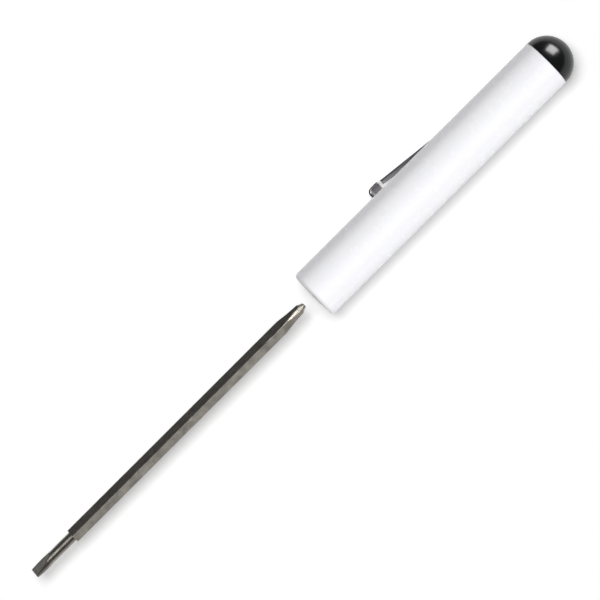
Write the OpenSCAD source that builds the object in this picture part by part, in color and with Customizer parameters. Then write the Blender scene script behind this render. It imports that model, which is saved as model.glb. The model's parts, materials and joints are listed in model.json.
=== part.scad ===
// Pocket screwdriver with a reversible square blade, drawn with the blade taken out.
// The handle lies on its side: its axis runs along X with the cap at +X, and it rests on
// the barrel and on the lower edge of the pocket clip. Lengths are in millimetres.

/* [Handle barrel] */
// Outside diameter of the barrel and of the domed cap
handle_d = 12; // [11:0.1:15]
// Length of the white barrel, from the mouth to the seam with the cap
barrel_len = 72.2; // [64:0.1:90]
// Wall thickness of the barrel
barrel_wall = 1.5; // [1.2:0.05:1.8]
// Thickness of the closed nose that the blade passes through
nose_wall = 2; // [1.5:0.1:4]
// Edge radius round the mouth
mouth_round = 1; // [0.6:0.05:1.2]
// Radius of the nose's slightly domed face
nose_crown_r = 40; // [30:1:80]
// Bevel on the barrel's rim under the cap
rim_bevel = 0.12; // [0.05:0.01:0.3]

/* [End cap] */
// Length of the spigot that is pressed into the barrel
spigot_len = 8; // [6:0.1:10]
// Radius of the hollow inside the spigot
spigot_bore_r = 2.4; // [1.5:0.1:2.8]
// Depth of that hollow, measured from the spigot's end
spigot_bore_depth = 9.5; // [4:0.1:11]
// Overlap of the press fit on the radius
press_overlap = 0.02; // [0.01:0.01:0.05]

/* [Blade] */
// Width across the flats of the square bar
bar_size = 2.38; // [2.2:0.01:2.6]
// Bevel along the bar's four edges
bar_bevel = 0.08; // [0.04:0.01:0.2]
// Length of the blade over both tips
blade_len = 83; // [70:0.5:92]
// Half angle of the cone that points the cross tip
cross_half_angle = 26.5; // [24:0.5:35]
// Radius of the cross tip's blunt end
cross_end_r = 0.6; // [0.3:0.05:0.8]
// Distance from the cross tip at which its four flutes run out
flute_run = 6.8; // [5:0.1:10]
// Distance from the blade's axis to the bottom of a flute, at the tip
flute_core_r = 0.56; // [0.3:0.02:0.7]
// Half of the angle between the two faces of a flute
flute_half_angle = 44; // [38:1:46]
// Length of the ground slotted end, from the bar's shoulder to the tip
slot_end_len = 11.6; // [8:0.1:16]
// Diameter of its round neck
neck_d = 2.36; // [1.8:0.02:2.38]
// Length of the two flats that taper to the slotted tip
wedge_len = 5.6; // [3:0.1:7]
// Width of the slotted tip
slot_tip_w = 2.64; // [2.2:0.02:3]
// Thickness of the slotted tip
slot_tip_t = 0.5; // [0.4:0.02:0.8]

/* [Pocket clip] */
// Thickness of the clip's strip
clip_t = 0.5; // [0.4:0.02:0.6]
// Width of the clip's strip along the barrel and at its root
clip_w = 2.6; // [2:0.1:4]
// Width of the tapered arm where it meets the lobe
neck_w = 1.2; // [1:0.05:1.9]
// Width of the clip's rounded lobe
lobe_w = 3; // [2.8:0.1:5]
// Distance from the mouth to the clip's end
clip_end_at = 24.65; // [18:0.05:32]
// Length of the raised lobe, from the clip's end to the crease
lobe_len = 3.9; // [3.5:0.1:5]
// Height of the lobe's outer face over the barrel
lobe_rise = 3.8; // [2.8:0.05:4.2]
// Height of the arm's outer face over the barrel, at the crease
arm_rise = 4.3; // [2.6:0.05:4.6]
// Length of the sloping arm, from the crease to where it meets the barrel
slope_len = 19; // [14:0.1:22]
// Radius of the curl at the clip's end, on the middle of the strip
curl_r = 1.15; // [0.6:0.05:1.3]
// Radius of the lobe's corners, seen from above
lobe_corner_r = 0.9; // [0.5:0.05:1.3]
// Gap between the clip's end and the barrel
clip_end_gap = 0.3; // [0.1:0.05:0.6]
// Gap between the clip's arm and the barrel where it lies along it
clip_seat_gap = 0.05; // [0.03:0.01:0.2]
// Length of the clip's hooked leg inside the barrel
leg_len = 3; // [2:0.1:3.4]
// Radius of the clip's root bends, on the middle of the strip
root_bend_r = 0.5; // [0.4:0.05:0.6]
// Clearance round the hooked leg
leg_gap = 0.35; // [0.3:0.05:0.5]

/* [Blade socket] */
// Radius of the socket's core round the square hole
core_r = 2.6; // [2.4:0.1:3.2]
// Depth of the square hole, measured from the mouth
blade_depth = 41; // [36:0.5:50]
// Thickness of the web that the blade's end stands on
stop_web = 3; // [2:0.1:5]
// Thickness of the socket's collars
collar_t = 3; // [2:0.1:4]
// Thickness of the socket's four ribs
rib_t = 1; // [0.8:0.1:1.4]
// Width of the two keys that stop the socket turning in the barrel
key_w = 1.6; // [1:0.1:2.4]
// Height of those keys
key_h = 0.5; // [0.3:0.05:0.7]
// Length of those keys
key_len = 12; // [8:0.5:20]
// Clearance between the square bar and its hole, on each side
bar_gap = 0.06; // [0.03:0.01:0.1]
// Clearance between the socket and the barrel, on the radius
socket_gap = 0.03; // [0.02:0.01:0.1]
// Clearance round the bar's corners in the nose, on the radius
nose_gap = 0.25; // [0.15:0.05:0.4]

/* [Retaining spring] */
// Thickness of the leaf spring
spring_t = 0.25; // [0.2:0.05:0.3]
// Width of the leaf spring
spring_w = 1.6; // [1.2:0.1:1.8]
// Length of the leaf spring
spring_len = 15; // [12:0.5:18]
// Clearance between the spring's crown and the bar
spring_gap = 0.02; // [0.01:0.01:0.05]
// Clearance round the spring's width and ends
spring_slot_gap = 0.2; // [0.1:0.05:0.4]

/* [Rest pose] */
// Gap between the cross tip and the mouth while the blade is out
blade_out_gap = 2.5; // [1:0.1:10]

/* [Hidden] */
$fn = 96;
// Overrun of the cuts
over = 0.05;
// Number of steps round each bend of the clip
bend_steps = 12;
// Number of steps along the bowed spring
bow_steps = 36;

handle_r = handle_d / 2;
bore_r = handle_r - barrel_wall;
socket_r = bore_r - socket_gap;
bar_corner_r = (bar_size - bar_bevel) / sqrt(2);
hole_size = bar_size + 2 * bar_gap;
nose_hole_r = bar_corner_r + nose_gap;
spigot_end = barrel_len - spigot_len;
// The edge round of the mouth runs smoothly into the nose's domed face
round_line = handle_r - mouth_round;
round_rise = nose_crown_r - sqrt(pow(nose_crown_r - mouth_round, 2) - pow(round_line, 2));
crown_turn = asin(round_line / (nose_crown_r - mouth_round));

// The cutter's edge is a circle that bottoms at the tip and leaves the corner at flute_run
flute_rise = bar_corner_r - flute_core_r;
cutter_r = (pow(flute_run, 2) + pow(flute_rise, 2)) / (2 * flute_rise);
cross_cone_len = (bar_corner_r - cross_end_r) / tan(cross_half_angle);
slot_tip_r = norm([slot_tip_w, slot_tip_t]) / 2;

// Places along and out from the axis on the middle line of the clip's strip
strip_half = clip_t / 2;
seat_line = handle_r + clip_seat_gap + strip_half;
lobe_line = handle_r + lobe_rise - strip_half;
crease_line = handle_r + arm_rise - strip_half;
foot_line = clip_end_at + strip_half;
crease_at = clip_end_at + lobe_len;
slope_end_at = crease_at + slope_len;
crease_run = clip_t * 1.6;
notch_depth = 2 * clip_t;
root_line = barrel_len - clip_t;
leg_face = sqrt(pow(bore_r - leg_gap, 2) - pow(clip_w / 2, 2));
leg_line = leg_face - strip_half;
root_bend_at = root_line - root_bend_r;
notch_w = clip_w + leg_gap;
leg_slot_r = leg_line - strip_half - leg_gap / 2;
leg_slot_len = barrel_len - root_line + leg_len + leg_gap;

// The spring bows from the barrel's bore to the bar
bow_crown_line = bar_size / 2 + spring_gap + spring_t / 2;
bow_end_line = sqrt(pow(bore_r - spring_gap, 2) - pow(spring_w / 2, 2)) - spring_t / 2;
spring_from = nose_wall + collar_t + spring_slot_gap;
window_w = spring_w + 2 * spring_slot_gap;

// The handle rolls until the lobe's outer corner meets the surface it lies on
lobe_reach = handle_r + lobe_rise;
lobe_half = lobe_w / 2;
rest_roll = asin(handle_r / norm([lobe_reach, lobe_half])) - atan(lobe_half / lobe_reach);
// The origin is under the middle of the whole part
blade_end_at = -blade_out_gap - blade_len;
lobe_out_y = lobe_reach * cos(rest_roll) + lobe_half * sin(rest_roll);
shift_x = -(barrel_len + handle_r + blade_end_at) / 2;
shift_y = (handle_r - lobe_out_y) / 2;

// Places along the clip's arm and its width there, from the lobe's shoulder to the root
arm_plan = [[crease_at - crease_run, lobe_w], [crease_at, neck_w],
            [slope_end_at, clip_w], [barrel_len, clip_w]];

// Points of an arc, from one angle to another
function arc(centre, r, from, to) =
    [for (i = [0 : bend_steps])
        let (angle = from + (to - from) * i / bend_steps)
        centre + r * [cos(angle), sin(angle)]];

function unit(v) = v / norm(v);
function heading(path, i) = unit(path[i + 1] - path[i]);
function left_of(v) = [-v[1], v[0]];

// Offset of a path's point, mitred between the runs on its two sides
function mitre(path, i, half) =
    let (last = len(path) - 1,
         before = left_of(heading(path, max(i - 1, 0))),
         after = left_of(heading(path, min(i, last - 1))),
         middle = unit(before + after))
    middle * half / (middle * after);

// Outline of a strip of even thickness that follows a path
function strip_outline(path, t) =
    let (last = len(path) - 1)
    concat([for (i = [0 : last]) path[i] + mitre(path, i, t / 2)],
           [for (i = [last : -1 : 0]) path[i] - mitre(path, i, t / 2)]);

// Middle line of the clip's strip: curled end, lobe, arm, root bends and hooked leg
clip_path = concat(
    [[foot_line, handle_r + clip_end_gap]],
    arc([foot_line + curl_r, lobe_line - curl_r], curl_r, 180, 90),
    [[crease_at - crease_run, lobe_line], [crease_at, crease_line], [slope_end_at, seat_line]],
    arc([root_bend_at, seat_line - root_bend_r], root_bend_r, 90, 0),
    arc([root_bend_at, leg_line + root_bend_r], root_bend_r, 0, -90),
    [[root_line - leg_len, leg_line]]
);

function bow_line(share) =
    bow_end_line - (bow_end_line - bow_crown_line) * (1 - cos(360 * share)) / 2;

spring_path = [for (i = [0 : bow_steps])
    [spring_from + spring_len * i / bow_steps, bow_line(i / bow_steps)]];

// From the handle's own frame, with the mouth at zero and the clip at +Y, to the rest pose
module at_rest() {
    translate([shift_x, shift_y, handle_r]) rotate([-rest_roll, 0, 0]) children();
}

// Turns a shape drawn along Z so that it starts at a place and runs along +X
module along_x(from) {
    translate([from, 0, 0]) rotate([0, 90, 0]) children();
}

// A round rod or hole on the axis
module rod(from, to, r) {
    along_x(from) cylinder(h = to - from, r = r);
}

// A square bar or hole on the axis
module square_bar(from, to, size) {
    translate([from, -size / 2, -size / 2]) cube([to - from, size, size]);
}

// Half of the barrel's section: the distance out from the axis, then along it
module barrel_section() {
    crown = arc([0, nose_crown_r], nose_crown_r, 270, 270 + crown_turn);
    polygon(concat(
        [for (i = [0 : bend_steps - 1]) crown[i]],
        arc([round_line, round_rise], mouth_round, 270 + crown_turn, 360),
        [[handle_r, barrel_len - rim_bevel], [handle_r - rim_bevel, barrel_len],
         [bore_r, barrel_len], [bore_r, nose_wall], [0, nose_wall]]));
}

module barrel() {
    color("white") at_rest() difference() {
        along_x(0) rotate_extrude() barrel_section();
        rod(-over, nose_wall + over, nose_hole_r);
        // Keyways for the socket's two keys
        translate([nose_wall, -key_w / 2 - socket_gap, -bore_r - key_h - socket_gap])
            cube([key_len + spring_slot_gap, key_w + 2 * socket_gap,
                  2 * (bore_r + key_h + socket_gap)]);
        // Notch in the rim that the clip's root passes through
        translate([barrel_len - notch_depth, 0, -notch_w / 2])
            cube([notch_depth + over, handle_r + over, notch_w]);
    }
}

module end_cap() {
    color([0.08, 0.08, 0.08]) at_rest() difference() {
        union() {
            along_x(barrel_len) rotate_extrude() intersection() {
                circle(r = handle_r);
                square(handle_r);
            }
            rod(spigot_end, barrel_len + over, bore_r + press_overlap);
        }
        rod(spigot_end - over, spigot_end + spigot_bore_depth, spigot_bore_r);
        // Slot for the clip's hooked leg
        translate([barrel_len - leg_slot_len, leg_slot_r, -notch_w / 2])
            cube([leg_slot_len, handle_r, notch_w]);
    }
}

// One full-bore collar of the socket
module collar(from) {
    rod(from, from + collar_t, socket_r);
}

module blade_socket() {
    color("ghostwhite") at_rest() difference() {
        union() {
            rod(nose_wall, spigot_end, core_r);
            collar(nose_wall);
            collar(blade_depth);
            collar(spigot_end - collar_t);
            intersection() {
                rod(nose_wall, spigot_end, socket_r);
                for (a = [45, 135]) rotate([a, 0, 0])
                    translate([nose_wall, -rib_t / 2, -bore_r])
                        cube([spigot_end - nose_wall, rib_t, 2 * bore_r]);
            }
            // Keys on the two sides, square to the clip
            for (turn = [0, 180]) rotate([turn, 0, 0])
                translate([nose_wall, -key_w / 2, core_r - over])
                    cube([key_len, key_w, bore_r + key_h - core_r + over]);
        }
        square_bar(nose_wall - over, blade_depth, hole_size);
        rod(blade_depth + stop_web, spigot_end + over, spigot_bore_r);
        // Window that the spring's crown reaches through
        translate([spring_from - spring_slot_gap, 0, -window_w / 2])
            cube([spring_len + 2 * spring_slot_gap, core_r + over, window_w]);
    }
}

module retaining_spring() {
    color("silver") at_rest() bent_strip(spring_path, spring_t, spring_w);
}

// A strip of even thickness that follows a path in X and Y, with its width along Z
module bent_strip(path, t, w) {
    linear_extrude(height = w, center = true) polygon(strip_outline(path, t));
}

// The clip seen from outside: a wider lobe with rounded corners and a tapered arm
module clip_plan() {
    corner_x = clip_end_at + lobe_corner_r;
    corner_z = lobe_half - lobe_corner_r;
    polygon(concat(
        arc([corner_x, corner_z], lobe_corner_r, 180, 90),
        [for (place = arm_plan) [place[0], place[1] / 2]],
        [for (i = [len(arm_plan) - 1 : -1 : 0]) [arm_plan[i][0], -arm_plan[i][1] / 2]],
        arc([corner_x, -corner_z], lobe_corner_r, 270, 180)));
}

module pocket_clip() {
    color("silver") at_rest() intersection() {
        bent_strip(clip_path, clip_t, lobe_w);
        rotate([90, 0, 0]) linear_extrude(height = 2 * lobe_reach, center = true) clip_plan();
    }
}

// Square bar with bevelled edges
module bevelled_bar(from, to) {
    intersection() {
        square_bar(from, to, bar_size);
        rotate([45, 0, 0]) square_bar(from, to, 2 * bar_corner_r);
    }
}

// Cone that points the cross tip, with its blunt end at zero
module cross_point() {
    rotate([0, -90, 0]) {
        cylinder(h = cross_cone_len, r1 = cross_end_r, r2 = bar_corner_r);
        translate([0, 0, cross_cone_len - over]) cylinder(h = flute_run, r = bar_corner_r + over);
    }
}

// Disc with a V edge that cuts one flute along the bar's corner
module flute_cutter() {
    edge_half = cutter_r * tan(flute_half_angle) / 4;
    translate([0, cutter_r + flute_core_r, 0]) rotate_extrude($fn = 180)
        polygon([[cutter_r, 0], [cutter_r * 3 / 4, edge_half], [cutter_r * 3 / 4, -edge_half]]);
}

// Neck and flared end that the two flats are ground on, from the tip to the shoulder
module slotted_end() {
    tip_half = slot_tip_t / 2;
    neck_half = neck_d / 2;
    translate([blade_end_at, 0, 0]) intersection() {
        union() {
            along_x(0) cylinder(h = wedge_len, r1 = slot_tip_r, r2 = neck_half);
            rod(wedge_len - over, slot_end_len + over, neck_half);
        }
        rotate([90, 0, 0]) linear_extrude(height = 2 * slot_tip_w, center = true)
            polygon([[0, -tip_half], [wedge_len, -neck_half], [slot_end_len + over, -neck_half],
                     [slot_end_len + over, neck_half], [wedge_len, neck_half], [0, tip_half]]);
    }
}

module blade() {
    color([0.45, 0.45, 0.42]) at_rest() {
        slotted_end();
        difference() {
            union() {
                bevelled_bar(blade_end_at + slot_end_len, -blade_out_gap - cross_cone_len - over);
                translate([-blade_out_gap, 0, 0]) intersection() {
                    bevelled_bar(-cross_cone_len - 2 * over, 0);
                    cross_point();
                }
            }
            for (a = [45 : 90 : 315]) rotate([a, 0, 0])
                translate([-blade_out_gap, 0, 0]) flute_cutter();
        }
    }
}

barrel();
end_cap();
blade_socket();
retaining_spring();
pocket_clip();
blade();
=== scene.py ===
"""Pocket screwdriver: visible pieces, finishes, stage, lights and camera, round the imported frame."""

import json
from math import asin, atan, cos, degrees, hypot, pi, radians, sin, sqrt, tan

import bpy
from mathutils import Matrix, Vector

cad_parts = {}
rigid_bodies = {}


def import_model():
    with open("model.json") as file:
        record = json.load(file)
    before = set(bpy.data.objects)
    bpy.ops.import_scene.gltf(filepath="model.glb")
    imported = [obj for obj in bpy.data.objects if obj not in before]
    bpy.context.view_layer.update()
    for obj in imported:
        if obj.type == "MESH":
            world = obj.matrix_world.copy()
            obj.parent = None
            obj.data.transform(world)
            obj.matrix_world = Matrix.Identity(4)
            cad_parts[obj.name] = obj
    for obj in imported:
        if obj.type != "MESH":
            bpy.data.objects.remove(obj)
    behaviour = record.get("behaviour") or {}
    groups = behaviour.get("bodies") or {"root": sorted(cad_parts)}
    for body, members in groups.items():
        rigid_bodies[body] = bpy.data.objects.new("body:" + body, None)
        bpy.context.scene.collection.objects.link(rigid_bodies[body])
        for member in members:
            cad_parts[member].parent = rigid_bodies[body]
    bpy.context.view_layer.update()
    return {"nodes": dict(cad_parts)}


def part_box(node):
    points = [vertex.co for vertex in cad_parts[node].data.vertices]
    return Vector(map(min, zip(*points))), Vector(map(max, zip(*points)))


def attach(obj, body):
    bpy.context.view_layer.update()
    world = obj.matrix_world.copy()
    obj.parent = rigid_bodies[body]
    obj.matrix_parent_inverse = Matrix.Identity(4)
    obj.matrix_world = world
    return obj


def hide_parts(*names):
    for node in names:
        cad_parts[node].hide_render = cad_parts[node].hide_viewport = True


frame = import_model()

bl_info = {
    "name": "Pocket screwdriver",
    "version": (1, 0, 0),
    "blender": (4, 5, 0),
    "location": "3D Viewport > Sidebar > Pocket screwdriver",
    "description": "Models the barrel, cap, clip and blade of a pocket screwdriver with its studio",
    "category": "Add Mesh",
}

# Sides of the handle's turned surfaces, of the blade's and of the large flute cutter
SIDES = 192
BLADE_SIDES = 96
CUTTER_SIDES = 360
# Steps of a quarter bend and of the dome's profile, and columns across the clip's strip
BEND_STEPS = 12
DOME_STEPS = 40
STRIP_COLUMNS = 8
# How far the skin stays inside the solids, and a cutter reaches past what it cuts, in metres
SKIN = 0.00001
OVERCUT = 0.001
# Side of the light table, how far it lies under the tool, and how far off the wide boxes hang
TABLE_SIDE = 3
TABLE_DROP = 0.00002
WIDE_REACH = 1.6
# Width of the camera's sensor, in millimetres
SENSOR = 36


def mm(value):
    return value / 1000


def length(title, note, default, low=0.0):
    """A length that is given in millimetres and kept in metres."""
    return bpy.props.FloatProperty(
        name=title, description=note, default=mm(default), min=mm(low), unit="LENGTH",
        subtype="DISTANCE", precision=5)


def turn_angle(title, note, default):
    """An angle that is given in degrees and kept in radians."""
    return bpy.props.FloatProperty(
        name=title, description=note, default=radians(default), unit="ROTATION", subtype="ANGLE")


def linear(code):
    """Turn an sRGB hex code into linear red, green and blue."""
    shares = [int(code[i:i + 2], 16) / 255 for i in (1, 3, 5)]
    return [s / 12.92 if s <= 0.04045 else ((s + 0.055) / 1.055) ** 2.4 for s in shares]


def colour(title, note, code):
    """A colour that is given as an sRGB hex code and kept as linear."""
    return bpy.props.FloatVectorProperty(
        name=title, description=note, default=linear(code), size=3, min=0, max=1, subtype="COLOR")


class HandleSizes(bpy.types.PropertyGroup):
    diameter: length("Diameter", "Outside diameter of the barrel and of the domed cap", 12)
    barrel_len: length("Barrel length", "From the mouth to the seam with the cap", 72.2)
    wall: length("Barrel wall", "Thickness of the barrel's wall", 1.5)
    nose_wall: length("Nose wall", "Thickness of the closed nose that the blade passes through", 2)
    nose_hole: length("Nose hole", "Radius of the hole in the nose", 1.8763)
    mouth_round: length("Mouth round", "Edge radius round the mouth", 1)
    nose_crown: length("Nose crown", "Radius of the nose's slightly domed face", 40)
    rim_bevel: length("Rim bevel", "Bevel on the barrel's rim under the cap", 0.12)
    notch_depth: length("Notch depth", "Depth of the notch that the clip's root passes through", 1)
    notch_w: length("Notch width", "Width of that notch and of the slot in the spigot", 2.95)
    spigot_len: length("Spigot length", "Length of the cap's spigot inside the barrel", 8)
    spigot_bore: length("Spigot bore", "Radius of the hollow in the spigot", 2.4)
    spigot_bore_depth: length("Spigot bore depth", "Depth of that hollow", 9.5)
    slot_r: length("Leg slot radius", "From the axis to the bottom of the slot for the clip's leg", 3.2)
    slot_len: length("Leg slot length", "Length of that slot below the seam", 3.85)


class ClipSizes(bpy.types.PropertyGroup):
    thickness: length("Thickness", "Thickness of the clip's strip", 0.5)
    width: length("Width", "Width of the strip along the barrel and at its root", 2.6)
    neck_w: length("Neck width", "Width of the tapered arm where it meets the lobe", 1.2)
    lobe_w: length("Lobe width", "Width of the rounded lobe", 3)
    end_at: length("End", "Distance from the mouth to the clip's end", 24.65)
    lobe_len: length("Lobe length", "From the clip's end to the crease", 3.9)
    lobe_rise: length("Lobe rise", "Height of the lobe's outer face over the barrel", 3.8)
    arm_rise: length("Arm rise", "Height of the arm's outer face over the barrel at the crease", 4.3)
    slope_len: length("Slope length", "From the crease to where the arm meets the barrel", 19)
    crease_run: length("Crease run", "Length over which the lobe rises to the crease", 0.8)
    curl_r: length("Curl radius", "Radius of the curl at the end, on the middle of the strip", 1.15)
    corner_r: length("Corner radius", "Radius of the lobe's corners, seen from above", 0.9)
    end_gap: length("End gap", "Gap between the clip's end and the barrel", 0.3)
    seat_gap: length("Seat gap", "Gap between the strip and the barrel where it lies along it", 0.05)
    leg_len: length("Leg length", "Length of the hooked leg inside the barrel", 3)
    root_r: length("Root bend radius", "Radius of the two root bends", 0.5)
    leg_gap: length("Leg gap", "Clearance round the hooked leg", 0.35)
    edge_round: length("Edge round", "Rounding along the strip's edges", 0.09)


class BladeSizes(bpy.types.PropertyGroup):
    out_gap: length("Gap", "From the cross tip to the mouth while the blade is out", 2.5)
    length: length("Length", "Length of the blade over both tips", 83)
    bar: length("Bar", "Width across the flats of the square bar", 2.38)
    bar_bevel: length("Bar bevel", "Bevel along the bar's four edges", 0.08)
    cross_half_angle: turn_angle("Cross half angle", "Half angle of the cone at the cross tip", 26.5)
    cross_end_r: length("Cross end radius", "Radius of the cross tip's blunt end", 0.6)
    flute_run: length("Flute run", "Distance from the tip at which the flutes run out", 6.8)
    flute_core_r: length("Flute core radius", "From the axis to the bottom of a flute at the tip", 0.56)
    flute_half_angle: turn_angle("Flute half angle", "Half of the angle between a flute's faces", 44)
    slot_end_len: length("Slotted end", "From the bar's shoulder to the slotted tip", 11.6)
    neck_d: length("Neck", "Diameter of the round neck", 2.36)
    wedge_len: length("Flats", "Length of the two flats", 5.6)
    slot_tip_w: length("Tip width", "Width of the slotted tip", 2.64)
    slot_tip_t: length("Tip thickness", "Thickness of the slotted tip", 0.5)


class FinishColours(bpy.types.PropertyGroup):
    barrel: colour("Barrel", "White of the moulded barrel", "#F1F1F4")
    barrel_tint: colour("Barrel tint", "Cooler patches in the white", "#EEEEF2")
    cap: colour("Cap", "Black of the moulded cap", "#0A0C0B")
    socket: colour("Socket", "Milky natural plastic of the socket", "#DDDCD4")
    spring: colour("Spring", "Rolled spring steel", "#9A9995")
    clip: colour("Clip", "Smoky plate of the clip", "#A6A3A7")
    blade: colour("Blade", "Dark nickel plate", "#959189")
    blade_dark: colour("Blade mottle", "Darker patches in the plate", "#75716C")
    ground: colour("Ground steel", "Bare steel where the two tips are ground", "#C2BFB8")
    # On the clip's crease this bright colour is a painted highlight; on the spring's crown it stands for
    # rubbed wear
    rubbed: colour("Rubbed plate", "Bright band where a crease or a crown is rubbed", "#E6E4E2")
    floor: colour("Floor", "White light table", "#FAFAFA")


class StageSettings(bpy.types.PropertyGroup):
    elevation: turn_angle("Elevation", "Camera's elevation over the floor", 73)
    roll: turn_angle("Roll", "Angle of the handle's axis in the picture", 44.96)
    distance: length("Distance", "From the camera to the handle's axis", 900)
    view_width: length("View width", "Width of the view at the handle's axis", 130.9)
    centre_x: length("Centre along", "Place on the axis that is nearest the picture's middle", 1.24, -100)
    centre_up: length("Centre up", "How far the picture's middle lies above the axis", 1.405)
    ambient: bpy.props.FloatProperty(
        name="Room", description="Light of the room", default=0.12, min=0)
    level: bpy.props.FloatProperty(
        name="Level", description="Share of the lights' power", default=1, min=0, subtype="FACTOR")


def settings(group):
    return getattr(bpy.context.scene, "driver_" + group)


def clear_selection():
    """Leave edit mode and select nothing."""
    if bpy.context.object and bpy.context.object.mode != "OBJECT":
        bpy.ops.object.mode_set(mode="OBJECT")
    for other in bpy.context.view_layer.objects:
        other.select_set(False)


def pick(piece):
    """Make one piece the only selected and active object."""
    clear_selection()
    piece.select_set(True)
    bpy.context.view_layer.objects.active = piece


def apply_place(piece):
    """Put the piece's place, turn and size into its mesh."""
    pick(piece)
    bpy.ops.object.transform_apply(location=True, rotation=True, scale=True)


def tidy_mesh(piece):
    """Merge doubles, close what is open and point the faces outwards."""
    pick(piece)
    bpy.ops.object.mode_set(mode="EDIT")
    bpy.ops.mesh.select_all(action="SELECT")
    bpy.ops.mesh.remove_doubles(threshold=1e-7)
    bpy.ops.mesh.fill_holes(sides=0)
    bpy.ops.mesh.select_all(action="SELECT")
    bpy.ops.mesh.normals_make_consistent(inside=False)
    bpy.ops.object.mode_set(mode="OBJECT")


def select_where(piece, kind, test):
    """In edit mode, select only the vertices, edges or faces that a test picks."""
    bpy.ops.mesh.select_mode(type={"vertices": "VERT", "edges": "EDGE", "polygons": "FACE"}[kind])
    bpy.ops.mesh.select_all(action="DESELECT")
    bpy.ops.object.mode_set(mode="OBJECT")
    for item in getattr(piece.data, kind):
        item.select = bool(test(item))
    bpy.ops.object.mode_set(mode="EDIT")


def use_modifier(piece, kind, **values):
    """Add a modifier, set it and apply it."""
    pick(piece)
    modifier = piece.modifiers.new(kind.title(), kind)
    for name, value in values.items():
        setattr(modifier, name, value)
    bpy.ops.object.modifier_apply(modifier=modifier.name)


def combine(piece, tool, how):
    """Cut, keep or add with another solid, which is then deleted."""
    use_modifier(piece, "BOOLEAN", operation=how, solver="EXACT", object=tool)
    bpy.data.objects.remove(tool, do_unlink=True)


def turned(name, section, sides=SIDES):
    """Turn a section about the X axis: each ring is extruded from the last and set to its radius."""
    at, radius = section[0]
    clear_selection()
    bpy.ops.mesh.primitive_circle_add(vertices=sides, radius=radius, rotation=(0, pi / 2, 0))
    piece = bpy.context.object
    piece.name = name
    piece.location.x = at
    apply_place(piece)
    bpy.ops.object.mode_set(mode="EDIT")
    bpy.ops.mesh.select_all(action="SELECT")
    for along, out in section[1:]:
        bpy.ops.mesh.extrude_edges_move(TRANSFORM_OT_translate={"value": (along - at, 0, 0)})
        bpy.ops.transform.resize(value=(1, out / radius, out / radius), center_override=(0, 0, 0))
        at, radius = along, out
    tidy_mesh(piece)
    return piece


def block(name, low, high):
    """A box between two corners, used as a cutter or as the start of a bar."""
    low, high = Vector(low), Vector(high)
    clear_selection()
    bpy.ops.mesh.primitive_cube_add(size=1, location=(low + high) / 2)
    piece = bpy.context.object
    piece.name = name
    piece.scale = high - low
    apply_place(piece)
    return piece


def arc(centre, radius, start, end, steps=BEND_STEPS):
    """Points of an arc, from one angle to another, in degrees."""
    angles = [radians(start + (end - start) * i / steps) for i in range(steps + 1)]
    return [(centre[0] + radius * cos(a), centre[1] + radius * sin(a)) for a in angles]


def lie_down(piece):
    """Carry a piece from the handle's own frame, clip at +Y, to where the tool rests."""
    handle, clip = settings("handle"), settings("clip")
    radius = handle.diameter / 2
    reach, half = radius + clip.lobe_rise, clip.lobe_w / 2
    roll = asin(radius / hypot(reach, half)) - atan(half / reach)
    out_y = reach * cos(roll) + half * sin(roll)
    blade = settings("blade")
    shift_x = -(handle.barrel_len + radius - blade.out_gap - blade.length) / 2
    piece.rotation_euler = (-roll, 0, 0)
    piece.location = (shift_x, (radius - out_y) / 2, radius)
    apply_place(piece)


def finish_piece(piece, finish, body, node, smooth):
    """Smooth, lay down, dress and hand over a piece that stands for a CAD node."""
    lie_down(piece)
    bpy.ops.object.shade_smooth_by_angle(angle=radians(smooth))
    piece.data.materials.clear()
    piece.data.materials.append(finish)
    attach(piece, body)
    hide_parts(node)


def add_node(tree, kind, values=(), links=()):
    """Add a node, set its sockets and settings, and link its inputs."""
    node = tree.nodes.new(kind)
    for name, value in dict(values).items():
        if isinstance(name, str) and hasattr(node, name):
            setattr(node, name, value)
        else:
            node.inputs[name].default_value = value
    for name, source in dict(links).items():
        tree.links.new(source, node.inputs[name])
    return node


def new_material(name):
    """A material with a Principled shader and coordinates in millimetres along the CAD axes."""
    material = bpy.data.materials.new(name)
    material.use_nodes = True
    tree = material.node_tree
    tree.nodes.clear()
    place = add_node(tree, "ShaderNodeTexCoord")
    scaled = add_node(tree, "ShaderNodeMapping", {"Scale": (1000, 1000, 1000)},
                      {"Vector": place.outputs["Object"]})
    shader = add_node(tree, "ShaderNodeBsdfPrincipled")
    add_node(tree, "ShaderNodeOutputMaterial", (), {"Surface": shader.outputs["BSDF"]})
    return material, tree, scaled.outputs["Vector"], shader


def moulded_white_abs():
    """Glossy injection-moulded ABS: an even cool white with a very faint flow waviness."""
    material, tree, place, shader = new_material("moulded_white_abs")
    colours = settings("colours")
    flow = add_node(tree, "ShaderNodeTexNoise", {"Scale": 0.09, "Detail": 2.0, "Roughness": 0.5},
                    {"Vector": place})
    tone = add_node(tree, "ShaderNodeMix", {"data_type": "RGBA", 6: (*colours.barrel, 1),
                                            7: (*colours.barrel_tint, 1)},
                    {0: flow.outputs["Fac"]})
    tree.links.new(tone.outputs[2], shader.inputs["Base Color"])
    # Handling leaves the gloss a little uneven over a few millimetres
    wear = add_node(tree, "ShaderNodeTexNoise", {"Scale": 0.35, "Detail": 4.0}, {"Vector": place})
    gloss = add_node(tree, "ShaderNodeMapRange", {"To Min": 0.24, "To Max": 0.3},
                     {"Value": wear.outputs["Fac"]})
    tree.links.new(gloss.outputs["Result"], shader.inputs["Roughness"])
    # Orange peel of about half a millimetre, a few micrometres high
    peel = add_node(tree, "ShaderNodeTexNoise", {"Scale": 2.0, "Detail": 1.0}, {"Vector": place})
    bump = add_node(tree, "ShaderNodeBump", {"Strength": 0.02, "Distance": mm(0.05)},
                    {"Height": peel.outputs["Fac"]})
    tree.links.new(bump.outputs["Normal"], shader.inputs["Normal"])
    shader.inputs["IOR"].default_value = 1.53
    return material


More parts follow.
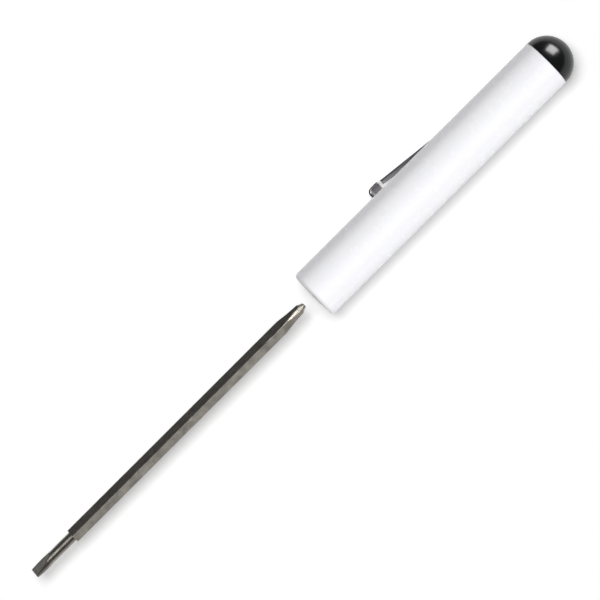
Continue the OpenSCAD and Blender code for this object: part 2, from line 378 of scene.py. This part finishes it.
def moulded_black_abs():
    """Glossy injection-moulded ABS: a deep black that mirrors the lights, with faint swirls."""
    material, tree, place, shader = new_material("moulded_black_abs")
    shader.inputs["Base Color"].default_value = (*settings("colours").cap, 1)
    shader.inputs["IOR"].default_value = 1.5
    shader.inputs["Specular IOR Level"].default_value = 0.4
    wear = add_node(tree, "ShaderNodeTexNoise", {"Scale": 0.6, "Detail": 5.0, "Roughness": 0.6},
                    {"Vector": place})
    gloss = add_node(tree, "ShaderNodeMapRange", {"To Min": 0.19, "To Max": 0.25},
                     {"Value": wear.outputs["Fac"]})
    tree.links.new(gloss.outputs["Result"], shader.inputs["Roughness"])
    peel = add_node(tree, "ShaderNodeTexNoise", {"Scale": 1.2, "Detail": 1.0}, {"Vector": place})
    bump = add_node(tree, "ShaderNodeBump", {"Strength": 0.06, "Distance": mm(0.05)},
                    {"Height": peel.outputs["Fac"]})
    tree.links.new(bump.outputs["Normal"], shader.inputs["Normal"])
    return material


def natural_plastic():
    """As-moulded natural polypropylene: milky, waxy and a little uneven in gloss."""
    material, tree, place, shader = new_material("natural_plastic")
    shader.inputs["Base Color"].default_value = (*settings("colours").socket, 1)
    grain = add_node(tree, "ShaderNodeTexNoise", {"Scale": 1.5, "Detail": 3.0}, {"Vector": place})
    gloss = add_node(tree, "ShaderNodeMapRange", {"To Min": 0.38, "To Max": 0.55},
                     {"Value": grain.outputs["Fac"]})
    tree.links.new(gloss.outputs["Result"], shader.inputs["Roughness"])
    bump = add_node(tree, "ShaderNodeBump", {"Strength": 0.1, "Distance": mm(0.05)},
                    {"Height": grain.outputs["Fac"]})
    tree.links.new(bump.outputs["Normal"], shader.inputs["Normal"])
    return material


def metal(name, light, dark, patch, roughness, lines, relief, axes, centre, reach, worked_and_highlight):
    """A metal with patches of two tones and fine lines along X, as rolling or drawing leaves.

    One part has a tone of its own: a worked tone where steel is ground or rubbed, and a painted highlight
    on the clip's crease.
    That part is measured along the axes from the centre, and fades out over the two distances of its
    reach, all in millimetres.
    """
    material, tree, place, shader = new_material(name)
    shader.inputs["Metallic"].default_value = 1.0
    patches = add_node(tree, "ShaderNodeTexNoise", {"Scale": patch, "Detail": 6.0, "Roughness": 0.62},
                       {"Vector": place})
    spread = add_node(tree, "ShaderNodeMapRange", {"From Min": 0.35, "From Max": 0.65},
                      {"Value": patches.outputs["Fac"]})
    tone = add_node(tree, "ShaderNodeMix", {"data_type": "RGBA", 6: (*light, 1), 7: (*dark, 1)},
                    {0: spread.outputs["Result"]})
    offset = [-way * at for way, at in zip(axes, centre)]
    from_worked_and_highlight = add_node(tree, "ShaderNodeMapping", {"Scale": axes, "Location": offset},
                         {"Vector": place})
    away = add_node(tree, "ShaderNodeVectorMath", {"operation": "LENGTH"},
                    {0: from_worked_and_highlight.outputs["Vector"]})
    share = add_node(tree, "ShaderNodeMapRange",
                     {"From Min": reach[0], "From Max": reach[1], "To Min": 1.0, "To Max": 0.0},
                     {"Value": away.outputs["Value"]})
    # This mix lays the part's own tone over the plate: worked steel, or on the clip a painted highlight
    shown = add_node(tree, "ShaderNodeMix", {"data_type": "RGBA", 7: (*worked_and_highlight, 1)},
                     {0: share.outputs["Result"], 6: tone.outputs[2]})
    tree.links.new(shown.outputs[2], shader.inputs["Base Color"])
    drawn = add_node(tree, "ShaderNodeMapping", {"Scale": (0.04, 1, 1)}, {"Vector": place})
    streaks = add_node(tree, "ShaderNodeTexNoise", {"Scale": lines, "Detail": 3.0},
                       {"Vector": drawn.outputs["Vector"]})
    both = add_node(tree, "ShaderNodeMath", {"operation": "ADD"},
                    {0: streaks.outputs["Fac"], 1: patches.outputs["Fac"]})
    gloss = add_node(tree, "ShaderNodeMapRange",
                     {"From Min": 0.6, "From Max": 1.4, "To Min": roughness[0], "To Max": roughness[1]},
                     {"Value": both.outputs["Value"]})
    tree.links.new(gloss.outputs["Result"], shader.inputs["Roughness"])
    bump = add_node(tree, "ShaderNodeBump", {"Strength": relief, "Distance": mm(0.02)},
                    {"Height": both.outputs["Value"]})
    tree.links.new(bump.outputs["Normal"], shader.inputs["Normal"])
    return material


def drawn_nickel_plate():
    """Dark nickel plate over drawn square bar: smoky, clouded over a few millimetres.

    The grinding of the flutes and of the slotted tip goes through the plate to brighter steel. That
    is all that lies inside the square bar's flats.
    """
    colours = settings("colours")
    low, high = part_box("blade")
    axis = (low + high) / 2 * 1000
    return metal("drawn_nickel_plate", colours.blade, colours.blade_dark, patch=0.4,
                 roughness=(0.22, 0.38), lines=7.0, relief=0.14,
                 axes=(0, 1, 1), centre=axis, reach=(1.08, 1.16), worked_and_highlight=colours.ground)


def plated_spring_strip():
    """Smoky plate over spring steel strip: nearly a mirror, with a painted highlight as a bright band
    across the crease.
    """
    colours, clip = settings("colours"), settings("clip")
    dark = [share * 0.8 for share in colours.clip]
    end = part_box("pocket_clip")[0].x
    # The crease's bright band is a painted highlight, and it fades out over the reach from the crease's
    # middle
    crease = (end + clip.lobe_len - clip.crease_run / 2) * 1000
    return metal("plated_spring_strip", colours.clip, dark, patch=1.2,
                 roughness=(0.12, 0.22), lines=9.0, relief=0.1,
                 axes=(1, 0, 0), centre=(crease, 0, 0), reach=(0.25, 0.5), worked_and_highlight=colours.rubbed)


def rolled_spring_steel():
    """Bare rolled spring steel: grey, with rolling lines, and rubbed bright where the bar slides."""
    colours = settings("colours")
    dark = [share * 0.75 for share in colours.spring]
    low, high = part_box("retaining_spring")
    crown = (low + high) / 2 * 1000
    return metal("rolled_spring_steel", colours.spring, dark, patch=1.5,
                 roughness=(0.28, 0.42), lines=8.0, relief=0.2,
                 axes=(1, 0, 0), centre=crown, reach=(0.8, 2.0), worked_and_highlight=colours.rubbed)


def opal_table():
    """Opal acrylic light table, lit from below: an even white with no gloss and a very faint tooth."""
    material, tree, place, shader = new_material("opal_table")
    shader.inputs["Base Color"].default_value = (*settings("colours").floor, 1)
    shader.inputs["Roughness"].default_value = 0.9
    shader.inputs["Specular IOR Level"].default_value = 0.1
    shader.inputs["Emission Color"].default_value = (1, 1, 1, 1)
    shader.inputs["Emission Strength"].default_value = 0.405
    tooth = add_node(tree, "ShaderNodeTexNoise", {"Scale": 1.0, "Detail": 3.0}, {"Vector": place})
    bump = add_node(tree, "ShaderNodeBump", {"Strength": 0.02, "Distance": mm(0.1)},
                    {"Height": tooth.outputs["Fac"]})
    tree.links.new(bump.outputs["Normal"], shader.inputs["Normal"])
    return material


class DRIVER_OT_barrel(bpy.types.Operator):
    """Turn the white barrel with its rounded mouth, nose hole and bore, and notch its rim"""
    bl_idname = "driver.barrel"
    bl_label = "Barrel"

    def execute(self, context):
        size = settings("handle")
        radius = size.diameter / 2 - SKIN
        end, bevel, soft = size.barrel_len, size.rim_bevel, size.mouth_round
        bore = size.diameter / 2 - size.wall
        hole, lead = size.nose_hole, mm(0.15)
        # The edge round runs smoothly into the nose's domed face
        crown, reach = size.nose_crown, radius - soft
        turn = degrees(asin(reach / (crown - soft)))
        lift = crown - sqrt((crown - soft) ** 2 - reach ** 2)
        face = [point for point in arc((crown, 0), crown, 180, 180 - turn) if point[1] > hole + lead]
        mouth = arc((lift, reach), soft, 180 - turn, 90)[1:]
        inner = crown - sqrt(crown ** 2 - (hole + lead) ** 2)
        section = [(inner + lead, hole), (inner, hole + lead), *face, *mouth,
                   (end - bevel, radius), (end, radius - bevel), (end, bore),
                   (size.nose_wall, bore), (size.nose_wall, hole), (inner + lead, hole)]
        barrel = turned("barrel_tube", section)
        half = size.notch_w / 2
        notch = block("notch", (end - size.notch_depth, 0, -half),
                      (end + OVERCUT, radius + OVERCUT, half))
        combine(barrel, notch, "DIFFERENCE")
        finish_piece(barrel, moulded_white_abs(), "handle", "barrel", 25)
        return {"FINISHED"}


class DRIVER_OT_cap(bpy.types.Operator):
    """Turn the domed black cap with its spigot, and cut the slot for the clip's leg"""
    bl_idname = "driver.cap"
    bl_label = "End cap"

    def execute(self, context):
        size = settings("handle")
        radius = size.diameter / 2 - SKIN
        seam, edge = size.barrel_len, mm(0.06)
        spigot_end = seam - size.spigot_len
        bore_end = spigot_end + size.spigot_bore_depth
        spigot_r = size.diameter / 2 - size.wall
        lead = mm(0.3)
        dome = arc((seam, 0), radius, 0, 90, DOME_STEPS)[::-1]
        dome = [point for point in dome if point[0] > seam + edge]
        section = [(bore_end, size.spigot_bore), (spigot_end, size.spigot_bore),
                   (spigot_end, spigot_r - lead), (spigot_end + lead, spigot_r), (seam, spigot_r),
                   (seam, radius - edge), (seam + edge, radius), *dome]
        cap = turned("cap_dome", section)
        half = size.notch_w / 2
        slot = block("slot", (seam - size.slot_len, size.slot_r, -half), (seam, radius, half))
        combine(cap, slot, "DIFFERENCE")
        finish_piece(cap, moulded_black_abs(), "handle", "end_cap", 25)
        return {"FINISHED"}


class DRIVER_OT_clip(bpy.types.Operator):
    """Fold the pocket clip from one strip: curled end, rounded lobe, tapered arm and hooked root"""
    bl_idname = "driver.clip"
    bl_label = "Pocket clip"

    def path(self, size, handle):
        """Middle line of the strip, from the clip's end to the end of the hooked leg."""
        radius, strip_half = handle.diameter / 2, size.thickness / 2
        seat = radius + size.seat_gap + strip_half
        lobe = radius + size.lobe_rise - strip_half
        crease = radius + size.arm_rise - strip_half
        foot = size.end_at + strip_half
        crease_at = size.end_at + size.lobe_len
        root = handle.barrel_len - size.thickness
        bore = radius - handle.wall
        leg = sqrt((bore - size.leg_gap) ** 2 - (size.width / 2) ** 2) - strip_half
        bend_at = root - size.root_r
        return [(foot, radius + size.end_gap),
                *arc((foot + size.curl_r, lobe - size.curl_r), size.curl_r, 180, 90),
                (crease_at - size.crease_run, lobe), (crease_at, crease),
                (crease_at + size.slope_len, seat),
                *arc((bend_at, seat - size.root_r), size.root_r, 90, 0),
                *arc((bend_at, leg + size.root_r), size.root_r, 0, -90),
                (root - size.leg_len, leg)]

    def half_width(self, size, x):
        """Half of the strip's width at a place along the handle."""
        crease_at = size.end_at + size.lobe_len
        shoulder_at = crease_at - size.crease_run
        corner_x = size.end_at + size.corner_r
        lobe_half, corner_half = size.lobe_w / 2, size.lobe_w / 2 - size.corner_r
        if x < corner_x:
            return corner_half + sqrt(max(size.corner_r ** 2 - (corner_x - x) ** 2, 0))
        places = [(shoulder_at, lobe_half), (crease_at, size.neck_w / 2),
                  (crease_at + size.slope_len, size.width / 2)]
        if x <= shoulder_at:
            return lobe_half
        for (x0, w0), (x1, w1) in zip(places, places[1:]):
            if x <= x1:
                return w0 + (w1 - w0) * (x - x0) / (x1 - x0)
        return size.width / 2

    def execute(self, context):
        size, handle = settings("clip"), settings("handle")
        path = self.path(size, handle)
        clear_selection()
        x, y = path[0]
        half = self.half_width(size, x)
        bpy.ops.mesh.primitive_grid_add(x_subdivisions=1, y_subdivisions=STRIP_COLUMNS, size=1)
        clip = bpy.context.object
        clip.name = "clip_strip"
        bpy.ops.object.mode_set(mode="EDIT")
        select_where(clip, "vertices", lambda v: v.co.x > 0)
        bpy.ops.mesh.delete(type="VERT")
        bpy.ops.object.mode_set(mode="OBJECT")
        for vertex in clip.data.vertices:
            vertex.co = (x, y, vertex.co.y * 2 * half)
        bpy.ops.object.mode_set(mode="EDIT")
        bpy.ops.mesh.select_all(action="SELECT")
        for x1, y1 in path[1:]:
            bpy.ops.mesh.extrude_edges_move(TRANSFORM_OT_translate={"value": (x1 - x, y1 - y, 0)})
            wide = self.half_width(size, x1)
            bpy.ops.transform.resize(value=(1, 1, wide / half), center_override=(0, 0, 0))
            x, y, half = x1, y1, wide
        bpy.ops.object.mode_set(mode="OBJECT")
        use_modifier(clip, "SOLIDIFY", thickness=size.thickness, offset=0, use_even_offset=True)
        use_modifier(clip, "BEVEL", width=size.edge_round, segments=3, limit_method="ANGLE",
                     angle_limit=radians(50))
        finish_piece(clip, plated_spring_strip(), "clip", "pocket_clip", 30)
        return {"FINISHED"}


class DRIVER_OT_blade(bpy.types.Operator):
    """Model the square blade with a fluted cross tip at one end and a slotted tip at the other"""
    bl_idname = "driver.blade"
    bl_label = "Blade"

    def flute_disc(self, size, corner_r):
        """Disc with a V edge that cuts one flute, with its edge at the bottom of the flute."""
        rise = corner_r - size.flute_core_r
        radius = (size.flute_run ** 2 + rise ** 2) / (2 * rise)
        deep = radius * tan(size.flute_half_angle) / 4
        blunt = mm(0.02)
        disc = turned("flute_disc", [(-deep, radius * 0.75), (-blunt, radius), (blunt, radius),
                                     (deep, radius * 0.75)], CUTTER_SIDES)
        disc.rotation_euler = (0, pi / 2, 0)
        disc.location = (-size.out_gap, radius + size.flute_core_r, 0)
        apply_place(disc)
        return disc

    def execute(self, context):
        size = settings("blade")
        tip, end = -size.out_gap, -size.out_gap - size.length
        shoulder = end + size.slot_end_len
        half = size.bar / 2
        corner_r = (size.bar - size.bar_bevel) / sqrt(2)
        bar = block("blade_bar", (shoulder, -half, -half), (tip, half, half))
        bpy.ops.object.mode_set(mode="EDIT")
        select_where(bar, "edges", lambda e: abs(
            bar.data.vertices[e.vertices[0]].co.x - bar.data.vertices[e.vertices[1]].co.x) > half * 3)
        bpy.ops.mesh.bevel(offset=size.bar_bevel, segments=3, affect="EDGES")
        bpy.ops.object.mode_set(mode="OBJECT")
        outside = corner_r + mm(0.2)
        cone_len = (outside - size.cross_end_r) / tan(size.cross_half_angle)
        blunt = mm(0.08)
        cone = turned("cross_cone", [
            (tip, size.cross_end_r - blunt), (tip - blunt, size.cross_end_r),
            (tip - cone_len, outside), (shoulder - OVERCUT, outside)], BLADE_SIDES)
        combine(bar, cone, "INTERSECT")
        cutter = self.flute_disc(size, corner_r)
        for turn in (45, 135, 225, 315):
            copy = cutter.copy()
            copy.data = cutter.data.copy()
            context.collection.objects.link(copy)
            copy.rotation_euler = (radians(turn), 0, 0)
            apply_place(copy)
            combine(bar, copy, "DIFFERENCE")
        bpy.data.objects.remove(cutter, do_unlink=True)

        tip_r = hypot(size.slot_tip_w, size.slot_tip_t) / 2
        neck_r = size.neck_d / 2
        wedge_at = end + size.wedge_len
        # The neck runs on into the bar, and the flats' block past the neck's end
        into_bar, past_neck = mm(0.3), mm(0.4)
        neck = turned("slotted_neck", [(end, tip_r), (wedge_at, neck_r),
                                       (shoulder + into_bar, neck_r)], BLADE_SIDES)
        thin, wide = size.slot_tip_t / 2, size.slot_tip_w
        flats = block("flats", (end, -wide, -neck_r), (wedge_at, wide, neck_r))
        bpy.ops.object.mode_set(mode="EDIT")
        select_where(flats, "vertices", lambda v: v.co.x < end + mm(1))
        bpy.ops.transform.resize(value=(1, 1, thin / neck_r), center_override=(end, 0, 0))
        select_where(flats, "polygons", lambda f: f.normal.x > 0.9)
        neck_len = size.slot_end_len - size.wedge_len
        bpy.ops.mesh.extrude_region_move(
            TRANSFORM_OT_translate={"value": (neck_len + past_neck, 0, 0)})
        bpy.ops.object.mode_set(mode="OBJECT")
        combine(neck, flats, "INTERSECT")
        combine(bar, neck, "UNION")
        bar.name = "blade_bar"
        finish_piece(bar, drawn_nickel_plate(), "blade", "blade", 14)
        return {"FINISHED"}


class DRIVER_OT_inner_finishes(bpy.types.Operator):
    """Give the blade socket and the retaining spring, which stay as they are, their finishes"""
    bl_idname = "driver.inner_finishes"
    bl_label = "Inner pieces"

    def execute(self, context):
        for node, finish in (("blade_socket", natural_plastic()),
                             ("retaining_spring", rolled_spring_steel())):
            for slot in frame["nodes"][node].material_slots:
                slot.material = finish
        return {"FINISHED"}


class DRIVER_OT_stage(bpy.types.Operator):
    """Lay the light table, hang the lights and set the camera"""
    bl_idname = "driver.stage"
    bl_label = "Stage, lights and camera"

    def soft_box(self, name, target, reach, elevation, azimuth, side, power):
        """A square soft box that faces a place, from an azimuth counted from -Y towards +X."""
        data = bpy.data.lights.new(name, "AREA")
        data.shape = "SQUARE"
        data.size = side
        data.energy = power * settings("stage").level
        light = bpy.data.objects.new(name, data)
        bpy.context.collection.objects.link(light)
        up, round_z = radians(elevation), radians(azimuth)
        towards = Vector((cos(up) * sin(round_z), -cos(up) * cos(round_z), sin(up)))
        light.location = Vector(target) + towards * reach
        light.rotation_euler = towards.to_track_quat("Z", "Y").to_euler()
        return light

    def camera(self, stage, foot):
        """Camera square to the axis, turned so that the tool lies across the picture's corners."""
        back = Vector((0, -cos(stage.elevation), sin(stage.elevation)))
        along = Vector((1, 0, 0))
        upwards = back.cross(along)
        right = cos(stage.roll) * along - sin(stage.roll) * upwards
        up = sin(stage.roll) * along + cos(stage.roll) * upwards
        data = bpy.data.cameras.new("photo_view")
        data.sensor_width = SENSOR
        data.lens = SENSOR * stage.distance / stage.view_width
        camera = bpy.data.objects.new("photo_view", data)
        bpy.context.collection.objects.link(camera)
        turn = Matrix((right, up, back)).transposed().to_quaternion()
        centre = foot + upwards * stage.centre_up
        camera.matrix_world = Matrix.LocRotScale(centre + back * stage.distance, turn, None)
        bpy.context.scene.camera = camera

    def execute(self, context):
        stage, handle = settings("stage"), settings("handle")
        scene = context.scene
        scene.view_settings.view_transform = "Standard"
        clear_selection()
        bpy.ops.mesh.primitive_plane_add(size=TABLE_SIDE, location=(0, 0, -TABLE_DROP))
        floor = context.object
        floor.name = "light_table"
        apply_place(floor)
        floor.data.materials.append(opal_table())
        # The table throws no light back up onto the tool's underside
        floor.visible_diffuse = False

        axis_y = sum(corner.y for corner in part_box("blade")) / 2
        foot = Vector((stage.centre_x, axis_y, handle.diameter / 2))
        self.camera(stage, foot)

        world = bpy.data.worlds.new("room")
        world.use_nodes = True
        world.node_tree.nodes["Background"].inputs["Color"].default_value = (1, 1, 1, 1)
        world.node_tree.nodes["Background"].inputs["Strength"].default_value = stage.ambient
        scene.world = world
        tool = bpy.data.collections.new("tool")
        table = bpy.data.collections.new("table")
        table.objects.link(floor)
        for piece in context.scene.objects:
            if piece.type == "MESH" and piece is not floor:
                tool.objects.link(piece)
        # Wide boxes light the tool alone, and aren't mirrored in its gloss
        for name, elevation, azimuth, side, power in (
                ("front_box", 35, 0, 1.2, 20.1), ("high_front_box", 60, 0, 1.2, 10.4),
                ("back_box", 40, 180, 1.2, 10.4)):
            light = self.soft_box(name, foot, WIDE_REACH, elevation, azimuth, side, power)
            light.visible_glossy = False
            light.light_linking.receiver_collection = tool
        light = self.soft_box("table_box", foot, WIDE_REACH, 90, 0, 0.85, 14.3)
        light.visible_glossy = False
        light.light_linking.receiver_collection = table
        # A small one is there for the dome's gloss alone
        dome = Vector((mm(77), axis_y, handle.diameter / 2))
        light = self.soft_box("cap_box", dome, 0.4, 36, 103.5, 0.26, 3.3)
        light.visible_diffuse = False
        # Three more are there for the gloss of the blade and the clip
        metals = bpy.data.collections.new("metals")
        for name in ("blade_bar", "clip_strip"):
            metals.objects.link(bpy.data.objects[name])
        for name, reach, elevation, azimuth, side, power in (
                ("overhead_box", 1.0, 88, 180, 0.35, 0.77), ("tip_box", 0.6, 57.6, 61, 0.27, 2.3),
                ("edge_box", 1.0, 73, 0, 0.2, 0.9)):
            light = self.soft_box(name, foot, reach, elevation, azimuth, side, power)
            light.visible_diffuse = False
            light.light_linking.receiver_collection = metals
        return {"FINISHED"}


class DRIVER_PT_pieces(bpy.types.Panel):
    bl_idname = "DRIVER_PT_pieces"
    bl_label = "Pocket screwdriver"
    bl_space_type = "VIEW_3D"
    bl_region_type = "UI"
    bl_category = "Pocket screwdriver"

    def draw(self, context):
        for operator in OPERATORS:
            self.layout.operator(operator.bl_idname)


OPERATORS = (DRIVER_OT_barrel, DRIVER_OT_cap, DRIVER_OT_clip, DRIVER_OT_blade,
             DRIVER_OT_inner_finishes, DRIVER_OT_stage)
GROUPS = {"handle": HandleSizes, "clip": ClipSizes, "blade": BladeSizes,
          "colours": FinishColours, "stage": StageSettings}


def register():
    for group in (*GROUPS.values(), *OPERATORS, DRIVER_PT_pieces):
        bpy.utils.register_class(group)
    for name, group in GROUPS.items():
        setattr(bpy.types.Scene, "driver_" + name, bpy.props.PointerProperty(type=group))


def unregister():
    for name in GROUPS:
        delattr(bpy.types.Scene, "driver_" + name)
    for group in (DRIVER_PT_pieces, *OPERATORS, *GROUPS.values()):
        bpy.utils.unregister_class(group)


def main():
    register()
    bpy.ops.driver.barrel()
    bpy.ops.driver.cap()
    bpy.ops.driver.clip()
    bpy.ops.driver.blade()
    bpy.ops.driver.inner_finishes()
    bpy.ops.driver.stage()


if __name__ == "__main__":
    main()
